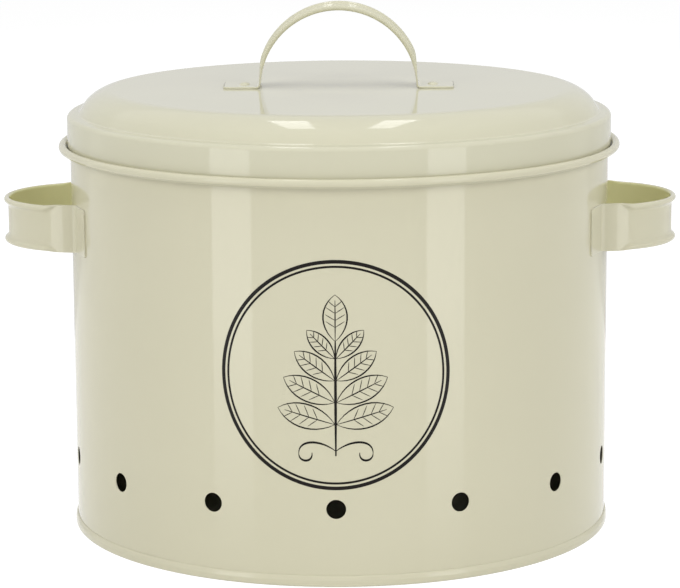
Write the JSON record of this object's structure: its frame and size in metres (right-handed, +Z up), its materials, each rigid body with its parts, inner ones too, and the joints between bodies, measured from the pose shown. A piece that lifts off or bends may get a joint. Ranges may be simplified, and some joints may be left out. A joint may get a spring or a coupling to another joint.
{
  "type": "kitchen storage bin",
  "caption": "Round ventilated storage bin for potatoes in cream-painted sheet steel, with a lift-off lid, strap carrying handles and a ring of vent holes",
  "frame": {"origin": "centre of the base on the floor", "axes": "+Z up out of the bin, front of the drum toward -Y, side handles along +X and -X"},
  "size_m": [0.2916, 0.242, 0.2258],
  "materials": {
    "cream_enamel": "glossy"
  },
  "bodies": {
    "bin": {"body_wall": "cream_enamel", "base_pan": "cream_enamel", "side_handle_left": "cream_enamel", "side_handle_right": "cream_enamel"},
    "lid": {"lid_shell": "cream_enamel", "lid_handle": "cream_enamel", "lid_rivet_left": "cream_enamel", "lid_rivet_right": "cream_enamel"}
  },
  "joints": [
    {"name": "lid_lift", "type": "slide", "parent": "bin", "child": "lid", "axis": [0, 0, 1], "range_m": [0, 0.12]}
  ]
}
